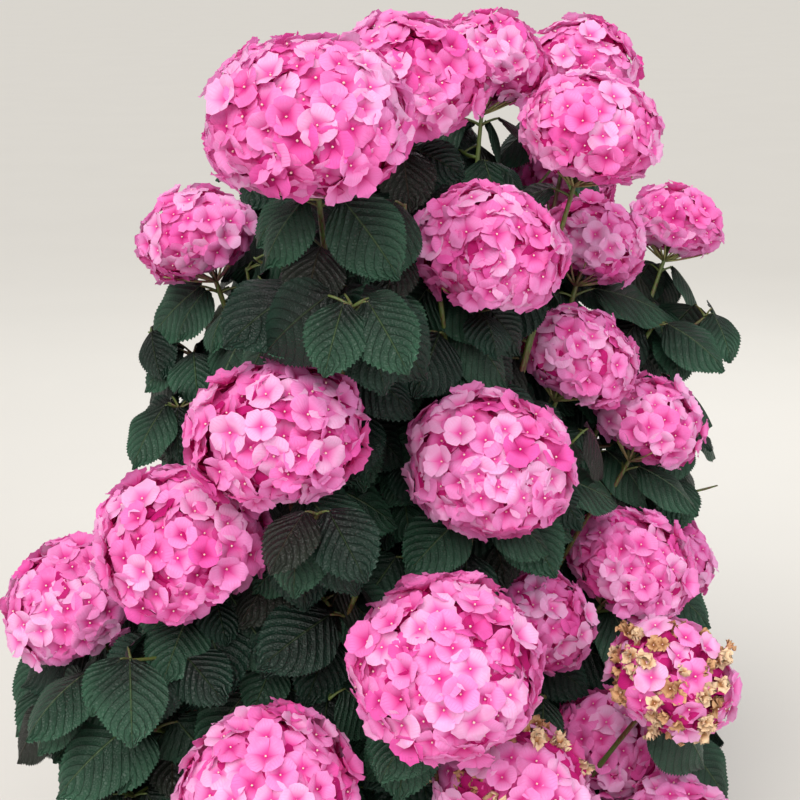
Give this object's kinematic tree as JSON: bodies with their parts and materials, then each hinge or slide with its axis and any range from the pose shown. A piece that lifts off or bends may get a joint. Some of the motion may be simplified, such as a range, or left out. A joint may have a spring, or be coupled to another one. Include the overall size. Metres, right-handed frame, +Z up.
{
  "type": "hydrangea shrub",
  "caption": "Rounded flowering shrub: woody canes rise from one stool and carry broad toothed leaves and large domed pink blooms.",
  "frame": {"origin": "middle of the stool's flat cut at ground level", "axes": "+Z up; +X to the right and -Y towards the viewer, as the shrub is seen in the picture"},
  "size_m": [0.9203, 1.0471, 1.2255],
  "materials": {
    "bark": "matt grey-brown bark with raised lenticels and fine peeling strips",
    "foliage": "leafy shoots, semi-matt green",
    "leaf": "dark green blade with sunk veins and a soft sheen",
    "shoot": "green twig and leaf stalk, flushed red-brown",
    "petal": "thin matt pink sepal that lets some light through"
  },
  "bodies": {
    "root": {"stool": "bark", "cane_crest_left": "bark", "mass_crest_left": "foliage", "cane_crest_right": "bark", "mass_crest_right": "foliage", "cane_crest_back": "bark", "mass_crest_back": "foliage", "cane_shoulder_front": "bark", "mass_shoulder_front": "foliage", "cane_shoulder_left": "bark", "mass_shoulder_left": "foliage", "cane_shoulder_right": "bark", "mass_shoulder_right": "foliage", "cane_waist_right": "bark", "mass_waist_right": "foliage", "cane_waist_left": "bark", "mass_waist_left": "foliage", "cane_waist_front": "bark", "mass_waist_front": "foliage", "cane_back_right": "bark", "mass_back_right": "foliage", "cane_back_middle": "bark", "mass_back_middle": "foliage", "cane_back_left": "bark", "mass_back_left": "foliage", "cane_knee_left": "bark", "mass_knee_left": "foliage", "cane_knee_right": "bark", "mass_knee_right": "foliage", "cane_knee_front": "bark", "mass_knee_front": "foliage", "cane_knee_front_right": "bark", "mass_knee_front_right": "foliage", "cane_low_back_right": "bark", "mass_low_back_right": "foliage", "cane_low_back_middle": "bark", "mass_low_back_middle": "foliage", "cane_low_back_left": "bark", "mass_low_back_left": "foliage", "cane_low_front": "bark", "mass_low_front": "foliage"}
  },
  "joints": []
}
